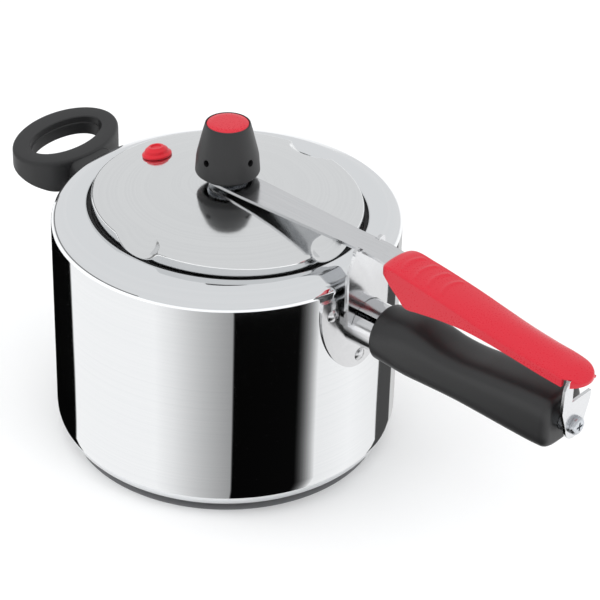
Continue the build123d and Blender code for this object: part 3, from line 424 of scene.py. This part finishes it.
# %% Weight
weight_low, weight_high = box_mm("weight_shell")
w_bottom, w_top = weight_low[2], weight_high[2]
wide_r = weight_high[0]
hollow_r, hollow_h, hole_up, hole_r = 14.4, 18.0, 13.4, 2.0
weight_profile = rounded_profile([
    (0, w_bottom + hollow_h, 0), (hollow_r, w_bottom + hollow_h, 1.0), (hollow_r, w_bottom, 0.3),
    (15.5, w_bottom, 0.5), (wide_r, w_bottom + 2.6, 1.6), (wide_r - 0.75, w_bottom + 13.0, 30.0),
    (14.15, w_top - 4.2, 9.0), (13.0, w_top, 0.5), (12.35, w_top, 0.1), (12.3, w_top - 1.6, 0.2),
    (0, w_top - 1.6, 0),
], 10)
cover = surface("weight_cover", turned_points(weight_profile, 160), wrap_rows=True)
hole_z = w_bottom + hole_up
for turn_deg in (0, 90, 180, 270):
    direction = np.array([math.cos(math.radians(turn_deg)), math.sin(math.radians(turn_deg)), 0])
    start = 10 * direction + (0, 0, hole_z)
    join_or_cut(cover, rod("steam_drill", start, start + 14 * direction, hole_r), "DIFFERENCE")
put_on(cover, "weight", "black_phenolic", "weight_shell")

cap_low, cap_high = box_mm("weight_cap")
cap_profile = rounded_profile([
    (0, cap_low[2], 0), (12.15, cap_low[2], 0.2), (12.15, w_top - 0.1, 0.7),
    (9.0, cap_high[2] - 0.25, 9.0), (0, cap_high[2], 0),
], 10)
put_on(surface("weight_button", turned_points(cap_profile, 128), wrap_rows=True),
       "weight", "red_plastic", "weight_cap")

# %% Safety button, square to the dome
button_out = 57.0
button_profile = rounded_profile([
    (0, -4.6, 0), (6.9, -4.6, 0.5), (6.9, -2.6, 0.3), (4.4, -2.6, 0.2), (4.4, 0.1, 0.1),
    (8.8, 0.1, 0.3), (8.8, 1.3, 0.6), (7.3, 2.4, 0.6), (6.7, 3.9, 0.5), (5.2, 5.0, 0.5),
    (4.5, 5.6, 0.4), (3.2, 5.6, 0.4), (3.0, 4.7, 0.4), (0, 4.7, 0),
], 6)
lean = -math.asin(button_out / dome_r)
across = np.array([math.cos(lean), 0, -math.sin(lean)])
upright = np.array([math.sin(lean), 0, math.cos(lean)])
button_foot = np.array([-button_out, 0, lid_top - dome_r + math.sqrt(dome_r**2 - button_out**2)])
button = turned_points(button_profile, 96)
button = (button_foot + button[:, :, :1] * across + button[:, :, 1:2] * np.array([0, 1, 0])
          + button[:, :, 2:] * upright)
put_on(surface("safety_button", button, wrap_rows=True), "lid", "red_silicone", "safety_plug")
print("weight, cap and button made")

# %% [markdown]
# ## Red grip
# A hollow moulding with a softly crowned top, bowed grip ridges near its front and a deep skirt
# under the front third. Its plan outline is walked once; each point is drawn in towards the
# spine for the top rows and let down for the side rows. Extruding a plan would leave a flat top,
# and sculpting would lose the crisp edge.

# %% Grip outline and heights
grip_low, grip_high = box_mm("upper_handle")
front_x, nose_x = grip_low[0], grip_high[0]
front_bow, nose_bow, grip_half = 8.0, 11.0, grip_high[1]
edge_curve = ((front_x, 164.6), (126.0, 167.2), (130.0, 168.3), (145.0, 167.2), (160.0, 165.1),
              (177.0, 162.4), (195.0, 159.0), (212.0, 156.0), (230.0, 153.9), (243.0, 152.9),
              (252.0, 151.0), (nose_x, 149.6))
spine_curve = ((front_x, 164.9), (125.0, 168.3), (130.0, 169.5), (140.0, 168.5), (190.0, 162.2),
               (240.0, 155.8), (250.0, 154.0), (256.0, 151.9), (nose_x, 149.8))
skirt_curve = ((front_x, 162.2), (129.0, 161.9), (133.0, 158.0), (139.5, 152.6), (143.5, 149.0),
               (146.5, 148.6), (151.0, 149.4), (170.0, 152.0), (185.0, 152.8), (200.0, 152.0),
               (214.0, 150.4), (240.0, 147.2), (250.0, 146.5), (nose_x, 147.2))


def grip_outline(points=150):
    """Half plan from front to nose: quarter ellipse, gently tapering side, quarter ellipse."""
    t = np.linspace(0, np.pi / 2, 26)
    side_x = np.linspace(front_x + front_bow, nose_x - nose_bow, points)
    side_w = smooth_through(side_x, (front_x, 145.0, nose_x - nose_bow),
                            (grip_half - 0.4, grip_half, grip_half - 1))
    x = np.concatenate([front_x + front_bow * (1 - np.cos(t)), side_x[1:-1],
                        nose_x - nose_bow * (1 - np.sin(t))])
    w = np.concatenate([side_w[0] * np.sin(t), side_w[1:-1], side_w[-1] * np.cos(t)])
    return x, w


def grip_top_height(px, py, middle_share):
    """Spine height, falling to the edge height as share^2.2, plus bowed ridges near the front."""
    spine = smooth_through(px, *zip(*spine_curve))
    edge = smooth_through(px, *zip(*edge_curve))
    z = spine + (edge - spine) * middle_share**2.2
    for ridge_x in (136.0, 145.0, 154.0, 163.0):
        bowed = ridge_x + 5.0 * (py / grip_half) ** 2
        fade = np.clip((0.78 - np.abs(py) / grip_half) / 0.12, 0, 1)
        z = z + 0.5 * np.exp(-((px - bowed) / 1.2) ** 2) * fade
    return z


def grip_points(corner_r=1.3, wall_t=2.4):
    """Rows from the spine to the edge, over a round corner, down the side, and back up inside."""
    x, w = grip_outline()
    x = np.concatenate([x, x[-2:0:-1]])[:, None]
    w = np.concatenate([w, -w[-2:0:-1]])[:, None]
    middle = np.clip(x, front_x + front_bow, nose_x - nose_bow)
    inset = np.concatenate([grip_half * (1 - np.linspace(0, 1, 22)[:-1] * 0.9),
                            corner_r * (1 - np.sin(np.linspace(0, np.pi / 2, 7)))])
    share = np.clip(1 - inset / grip_half, 0, 1)[None, :]
    px, py = middle + (x - middle) * share, w * share
    fall = corner_r - np.sqrt(np.clip(corner_r**2 - np.clip(corner_r - inset, 0, None) ** 2, 0, None))
    z = grip_top_height(px, py, share) - fall[None, :]
    low = smooth_through(x, *zip(*skirt_curve))
    side_z = z[:, -1:] + (low - z[:, -1:]) * np.linspace(0, 1, 10)[None, 1:]
    inner = (1 - wall_t / grip_half) * np.linspace(1, 0, 8)[None, :]
    ix, iy = middle + (x - middle) * inner, w * inner
    iz = grip_top_height(ix, iy, inner) - wall_t - 1.0
    rim = np.stack([ix[:, :1], iy[:, :1], low], 2)
    return np.concatenate([
        np.stack([px, py, z], 2), np.stack([x + 0 * side_z, w + 0 * side_z, side_z], 2),
        rim, np.stack([ix, iy, iz], 2)], 1)


# %% Grip shell, latch notch and ledge
grip = surface("red_grip", grip_points(), wrap_rows=True, sharp_deg=50)
latch_low, latch_high = box_mm("latch_plate")


def block(name, low, high):
    """Closed box between two corners, from a ring of four points carried upwards."""
    (x0, y0, z0), (x1, y1, z1) = low, high
    ring = np.array([(x0, y0), (x1, y0), (x1, y1), (x0, y1)])
    centre = ring.mean(0)
    plan = np.stack([np.tile(centre, (4, 1)), ring, ring, np.tile(centre, (4, 1))], 1)
    level = np.array([z0, z0, z1, z1])[None, :, None] + 0 * plan[:, :, :1]
    return surface(name, np.concatenate([plan, level], 2), wrap_rows=True)


notch = block("notch_cutter", (latch_low[0] - 1.2, -grip_half - 4, grip_low[2] - 6),
              (latch_high[0] + 1.2, -6.0, latch_high[2] + 1.0))
join_or_cut(grip, notch, "DIFFERENCE")
clean(grip.data, 50)
print("grip faces after the notch", len(grip.data.polygons))
put_on(grip, "lever", "red_plastic", "upper_handle")
ledge_z = latch_high[2] - 3.3
ledge = block("latch_ledge", (latch_low[0] - 5.0, -3.4, ledge_z - 1.4), (nose_x - 2.5, 9.5, ledge_z))
bevel = ledge.modifiers.new("soft_edges", "BEVEL")
bevel.width, bevel.segments = 0.3 * MM, 2
put_on(ledge, "lever", "red_plastic", "upper_handle")
print("grip", len(grip.data.polygons), "faces")

# %% [markdown]
# ## Black grip
# A solid phenolic moulding: a round collar where it meets the metal tube, a hump, a waist for the
# fingers and a rounded box at the end. It is one section carried along X. The section is a
# superellipse, |y/w|^n + |z/h|^n = 1, whose power n grows from 2, round, to about 4, a soft box.

# %% Black grip surface
handle_z = (box_mm("handle_ferrule")[0][2] + box_mm("handle_ferrule")[1][2]) / 2
# Place along X, half width, top above the axis, underside below the axis, power.
stations = np.array([
    (122.0, 16.4, 16.4, 16.4, 2.0), (129.0, 16.6, 17.2, 16.2, 2.1), (137.0, 16.6, 18.4, 15.4, 2.5),
    (147.0, 16.6, 18.5, 14.8, 3.0), (157.0, 16.2, 16.6, 14.2, 3.3), (168.0, 15.8, 14.3, 13.8, 3.5),
    (180.0, 15.6, 13.7, 13.6, 3.6), (199.0, 15.9, 15.3, 14.0, 3.7), (220.0, 16.3, 17.0, 14.7, 3.8),
    (236.0, 16.5, 17.6, 15.0, 3.8), (245.0, 16.4, 17.4, 14.8, 3.6),
])


def black_grip_points(around=144, front_r=2.2, end_r=4.5):
    """Superellipse sections along X, drawn in over quarter rounds at both ends and closed."""
    t = np.linspace(0, np.pi / 2, 9)
    front, end = stations[0, 0], stations[-1, 0]
    closed = 99  # inset past any half width, so that the end rows shrink to a point
    x = np.concatenate([[front, front], front + front_r * (1 - np.cos(t)), np.linspace(124.5, 240.2, 110),
                        end - end_r * (1 - np.sin(t)), [end, end]])
    inset = np.concatenate([[closed, 8.0], front_r * (1 - np.sin(t)), np.zeros(110),
                            end_r * (1 - np.cos(t)), [9.0, closed]])
    phi = np.linspace(0, 2 * np.pi, around, endpoint=False)[None, :]
    w, top, low, power = (smooth_through(x, stations[:, 0], stations[:, k])[:, None] for k in range(1, 5))
    inset = inset[:, None]
    c, s = np.cos(phi), np.sin(phi)
    height = np.where(s > 0, top, low)
    y = np.maximum(w - inset, 0) * np.sign(c) * np.abs(c) ** (2 / power)
    z = np.maximum(height - inset, 0) * np.sign(s) * np.abs(s) ** (2 / power)
    return np.stack([x[:, None] + 0 * y, y, handle_z + z], 2)


put_on(surface("black_grip", black_grip_points(), wrap_columns=True, sharp_deg=60),
       "pot", "black_phenolic", "lower_handle")

# %% [markdown]
# ## Rear loop
# An oval ring of phenolic that leans up and away from the pot, deeper where it meets the wall. The
# ring is a rounded four-sided section carried round an ellipse: outer wall, underside, inner
# wall with a small step, top. A root block then joins it to the pot.

# %% Loop surface
loop_low = box_mm("rear_handle")[0]
lean_tan = math.tan(math.radians(13))
loop_x = loop_low[0] + 21.9
loop_top_z = 144.0
loop_a, loop_b, hole_a, hole_b = 21.3, 39.5, 11.1, 26.8


def loop_top(x):
    """Height of the leaning top face."""
    return loop_top_z - (x + 133.5) * lean_tan


def loop_under(x):
    """Height of the underside: level with the top's lean outside, deep near the pot."""
    return smooth_through(x, (-156.0, -143.6, -134.7, -124.8, -119.1, -114.7, -111.0),
                          (137.4, 134.0, 130.5, 124.3, 120.0, 118.8, 118.7))


def loop_points(around=224):
    """Section rows (0 outer to 1 inner, 0 top to 1 underside) carried round the ellipse."""
    section = rounded_profile([
        (0.5, 0.0, 0), (0.0, 0.0, 0.17), (0.0, 1.0, 0.13), (1.0, 1.0, 0.13),
        (1.0, 0.34, 0.02), (0.93, 0.34, 0.02), (0.93, 0.0, 0.07), (0.5, 0.0, 0)], 8)[:-1]
    t = np.linspace(0, 2 * np.pi, around, endpoint=False)[:, None]
    across_share, depth = section[None, :, 0], section[None, :, 1]
    x = loop_x + np.cos(t) * (loop_a + (hole_a - loop_a) * across_share)
    y = np.sin(t) * (loop_b + (hole_b - loop_b) * across_share)
    top, under = loop_top(x), loop_under(x)
    return np.stack([x, y, top + (under - top) * depth], 2)


def root_points(around=96):
    """Soft box carried along X from the ring to the wall, its far end following the pot."""
    x = np.array([-123.0, -123.0, -121.5, -118.0, -113.0, -108.0, -104.5, -103.2, -103.2])[:, None]
    size = np.array([0.0, 0.9, 1.0, 1.0, 1.0, 1.0, 1.0, 1.0, 0.0])[:, None]
    phi = np.linspace(0, 2 * np.pi, around, endpoint=False)[None, :]
    half = np.array([12.0, 12.0, 13.5, 15.5, 16.5, 17.0, 17.0, 17.0, 17.0])[:, None]
    top = loop_top(x) - 1.2
    low = np.maximum(loop_under(x), loop_low[2] + 0.1)
    c, s = np.cos(phi), np.sin(phi)
    y = half * size * np.sign(c) * np.abs(c) ** 0.45
    z = (top + low) / 2 + (top - low) / 2 * size * np.sign(s) * np.abs(s) ** 0.4
    follow_r = 103.8
    bow = np.sqrt(np.clip(follow_r**2 - y**2, 0, None)) - follow_r
    return np.stack([x - bow * np.clip((x + 118) / 14, 0, 1) - 0.6, y, z], 2)


loop = surface("rear_loop", loop_points(), wrap_rows=True, wrap_columns=True)
join_or_cut(loop, surface("loop_root", root_points(), wrap_columns=True), "UNION")
put_on(loop, "pot", "black_phenolic", "rear_handle")
print("grips and loop made")

# %% [markdown]
# ## Sheet metal and fasteners
# Strip, bracket, tube, latch and nut are right in the CAD, but stamped metal never has knife
# edges. A copy of each mesh is welded, its flat faces are joined, and a narrow bevel catches the
# light along every edge. Modelling them again would only repeat the CAD.

# %% Softened copies of CAD sheets
def softened(node, name, body, slot, bevel_mm=0.0, sharp_deg=32.0):
    """Copy of a CAD node's mesh with doubles merged, flat areas joined and edges bevelled."""
    mesh = frame["nodes"][node].data.copy()
    mesh.name = name
    bm = bmesh.new()
    bm.from_mesh(mesh)
    bmesh.ops.remove_doubles(bm, verts=bm.verts, dist=1e-6)
    if bevel_mm:
        bmesh.ops.dissolve_limit(bm, angle_limit=math.radians(1.0), verts=bm.verts, edges=bm.edges)
    bm.to_mesh(mesh)
    bm.free()
    mesh.shade_smooth()
    mesh.set_sharp_from_angle(angle=math.radians(sharp_deg))
    piece = bpy.data.objects.new(name, mesh)
    bpy.context.scene.collection.objects.link(piece)
    if bevel_mm:
        edge = piece.modifiers.new("rubbed_edges", "BEVEL")
        edge.width, edge.segments, edge.limit_method = bevel_mm * MM, 2, "ANGLE"
        edge.angle_limit, edge.harden_normals = math.radians(40), True
    return put_on(piece, body, slot, node)


for row in (
    ("lever_strip", "spring_strip", "lever", "stainless_sheet", 0.3),
    ("handle_bracket", "handle_bracket_sheet", "pot", "stainless_sheet", 0.3),
    ("handle_ferrule", "rolled_tube", "pot", "stainless_sheet", 0.25),
    ("latch_plate", "latch_fork", "latch", "stainless_sheet", 0.3),
    ("handle_screw", "grip_bolt", "pot", "steel_hardware", 0.15),
    ("latch_bush", "latch_spacer", "pot", "steel_hardware", 0.3),
    ("stem_nut", "flanged_nut", "lid", "steel_hardware", 0.25),
    ("rear_bracket", "rear_bracket_sheet", "pot", "stainless_sheet", 0.25),
    ("bracket_rivets", "bracket_rivet_heads", "pot", "rivet_metal", 0.0),
    ("rear_rivets", "rear_rivet_heads", "pot", "rivet_metal", 0.0),
):
    softened(*row)

# %% Finishes on the CAD nodes that stay
node_slots = {row["node"]: row["material_slot"] for row in frame["record"]["subparts"]}
for node, thing in frame["nodes"].items():
    if not thing.hide_render:
        thing.data.materials.clear()
        thing.data.materials.append(finishes[node_slots[node]])
        print("kept", node)

# %% [markdown]
# ## Studio
# Polished metal shows only what stands around it. The wall's reflections look down at the floor
# near the pot, so the studio's dark and grey flags lie there: one fan of light and dark bands
# that only reflections see. Each band leaves the wall in the direction in which the wall, seen
# from the camera, sends the eye.

# %% Camera
CAMERA_TURN, CAMERA_RISE, CAMERA_ROLL = math.radians(41.0), math.radians(32.577), math.radians(1.544)
CAMERA_DISTANCE = 1.4148
aim = Vector((0.0328, 0.0286, 0.08567))
back = Vector((math.sin(CAMERA_TURN) * math.cos(CAMERA_RISE),
               -math.cos(CAMERA_TURN) * math.cos(CAMERA_RISE), math.sin(CAMERA_RISE)))
right = Vector((math.cos(CAMERA_TURN), math.sin(CAMERA_TURN), 0))
up = back.cross(right)
camera_x = right * math.cos(CAMERA_ROLL) + up * math.sin(CAMERA_ROLL)
camera_y = up * math.cos(CAMERA_ROLL) - right * math.sin(CAMERA_ROLL)
lens = bpy.data.cameras.new("studio_camera")
lens.lens, lens.sensor_width, lens.clip_end = 143.08, 36.0, 50.0
camera = bpy.data.objects.new("studio_camera", lens)
bpy.context.scene.collection.objects.link(camera)
turn_matrix = Matrix((camera_x, camera_y, back)).transposed().to_4x4()
camera.matrix_world = Matrix.Translation(aim + back * CAMERA_DISTANCE) @ turn_matrix
bpy.context.scene.camera = camera
bpy.context.scene.view_settings.view_transform = "Standard"


# %% Floor and reflected bands
def stage_piece(name, points_mm, wrap_columns=False):
    """A grid that belongs to the studio."""
    piece = surface(name, points_mm, wrap_columns=wrap_columns)
    return piece


ring = np.linspace(0, 2 * np.pi, 96, endpoint=False)[None, :]
reach = np.array([0.0, 400.0, 1500.0, 8000.0])[:, None]
ground = stage_piece("studio_floor", np.stack(
    [reach * np.cos(ring), reach * np.sin(ring), 0 * reach * ring - 0.3], 2), wrap_columns=True)
paper = bpy.data.materials.new("pale_studio_paper")
paper.use_nodes = True
paper_shader = paper.node_tree.nodes["Principled BSDF"]
paper_shader.inputs["Base Color"].default_value = linear("#fbfbfb")
paper_shader.inputs["Roughness"].default_value = 0.9
paper_shader.inputs["Specular IOR Level"].default_value = 0.1
ground.data.materials.append(paper)


def only_reflected(piece):
    """Hides a studio flag from everything but reflections."""
    piece.visible_camera = piece.visible_diffuse = piece.visible_shadow = False
    piece.visible_transmission = piece.visible_volume_scatter = False


def toned(piece, name, tones):
    """Lights a flag by its own tone attribute, given as sRGB shares and turned to linear."""
    linear_tone = np.where(tones <= 0.04045, tones / 12.92, ((tones + 0.055) / 1.055) ** 2.4)
    layer = piece.data.attributes.new("tone", "FLOAT", "POINT")
    layer.data.foreach_set("value", linear_tone.astype(np.float32))
    material = bpy.data.materials.new(name)
    material.use_nodes = True
    tree = material.node_tree
    tree.nodes.clear()
    tone = add(tree, "ShaderNodeAttribute", attribute_name="tone")
    glow = add(tree, "ShaderNodeEmission", {"Color": tone.outputs["Fac"], "Strength": 1.1})
    add(tree, "ShaderNodeOutputMaterial", {"Surface": glow.outputs[0]})
    piece.data.materials.append(material)


# Angle round the wall from the camera's side, in degrees to the right, and the tone seen there.
BANDS = ((-96, 0.02), (-60.2, 0.02), (-59.2, 0.97), (-22.4, 0.97), (-16, 0.90), (-6, 0.74), (3.3, 0.60),
         (3.8, 0.02), (24.9, 0.03), (28.5, 0.45), (32.5, 0.93), (47, 0.97), (62.8, 0.93), (63.5, 0.28),
         (75.8, 0.28), (76.8, 0.80), (96, 0.72))


def band_fan(name, azimuth, height):
    """Fan of rays: from each wall point at angle t, outwards in direction 2 t, along the floor."""
    degrees = np.unique(np.concatenate([np.linspace(-94, 94, 190), [b[0] for b in BANDS]]))
    t = np.radians(degrees)[:, None]
    away = np.array([2.0, 60.0, 130.0, 260.0])[None, :]
    towards = pot_r * np.cos(t) + away * np.cos(2 * t)
    sideways = pot_r * np.sin(t) + away * np.sin(2 * t)
    c, s = math.cos(azimuth), math.sin(azimuth)
    points = np.stack([towards * c - sideways * s, towards * s + sideways * c, height + 0 * towards], 2)
    piece = bpy.data.objects.new(name, bpy.data.meshes.new(name))
    rows, columns = points.shape[:2]
    faces = grid_faces(rows, columns, False, False)
    piece.data.from_pydata((points.reshape(-1, 3) * MM).tolist(), [], faces.tolist())
    bpy.context.scene.collection.objects.link(piece)
    tones = np.interp(degrees, [b[0] for b in BANDS], [b[1] for b in BANDS])
    toned(piece, name + "_tones", np.repeat(tones, columns))
    only_reflected(piece)


camera_azimuth = CAMERA_TURN - math.pi / 2
band_fan("bands_front", camera_azimuth, 0.6)
band_fan("bands_back", camera_azimuth + math.pi, 0.2)


def standing_flag(name, first, last, distance, low, high, tone):
    """Upright curved flag round the pot: angles in degrees from the camera's side, sizes in mm."""
    steps = 60
    turn = camera_azimuth + np.radians(np.linspace(first, last, steps))[:, None]
    height = np.array([low, high])[None, :]
    points = np.stack([distance * np.cos(turn) + 0 * height, distance * np.sin(turn) + 0 * height,
                       height + 0 * turn], 2)
    piece = bpy.data.objects.new(name, bpy.data.meshes.new(name))
    piece.data.from_pydata((points.reshape(-1, 3) * MM).tolist(), [],
                           grid_faces(steps, 2, False, False).tolist())
    bpy.context.scene.collection.objects.link(piece)
    toned(piece, name + "_tones", np.full(2 * steps, tone))
    only_reflected(piece)


standing_flag("left_flag", -50, -150, 1200, 120, 300, 0.52)

# Shade under the pot's edge, where it meets the paper.
inside = np.array([pot_r - 14.0, pot_r - 8.5])[:, None]
contact = stage_piece("contact_shade", np.stack(
    [inside * np.cos(ring), inside * np.sin(ring), 0 * inside * ring - 0.2], 2), wrap_columns=True)
shade = bpy.data.materials.new("shaded_studio_paper")
shade.use_nodes = True
shade.node_tree.nodes["Principled BSDF"].inputs["Base Color"].default_value = linear("#8a8a8c")
shade.node_tree.nodes["Principled BSDF"].inputs["Roughness"].default_value = 0.9
contact.data.materials.append(shade)


# %% Lights
def softbox(name, place, size, watts, tint="#ffffff"):
    """Rectangular light aimed at the middle of the cooker and hidden from reflections."""
    lamp = bpy.data.lights.new(name, "AREA")
    lamp.shape, lamp.size, lamp.size_y, lamp.energy = "RECTANGLE", size[0], size[1], watts
    lamp.color = linear(tint)[:3]
    thing = bpy.data.objects.new(name, lamp)
    bpy.context.scene.collection.objects.link(thing)
    thing.visible_glossy = False
    thing.location = place
    thing.rotation_euler = (Vector(place) - Vector((0.05, 0, 0.1))).to_track_quat("Z", "Y").to_euler()


def studio_place(side, towards, height):
    """Place in metres: to the camera's right, towards the camera, and up."""
    to_camera = Vector((back.x, back.y, 0)).normalized()
    return right * side + to_camera * towards + Vector((0, 0, height))


softbox("left_softbox", studio_place(-1.7, 0.5, 1.1), (1.6, 2.0), 15)
softbox("right_softbox", studio_place(1.7, 0.7, 1.0), (1.5, 1.9), 11)
softbox("top_softbox", studio_place(0.0, 0.1, 2.2), (2.6, 2.6), 16)

world = bpy.data.worlds.new("pale_room")
world.use_nodes = True
world.node_tree.nodes["Background"].inputs["Color"].default_value = linear("#f4f5f6")
world.node_tree.nodes["Background"].inputs["Strength"].default_value = 0.86
bpy.context.scene.world = world
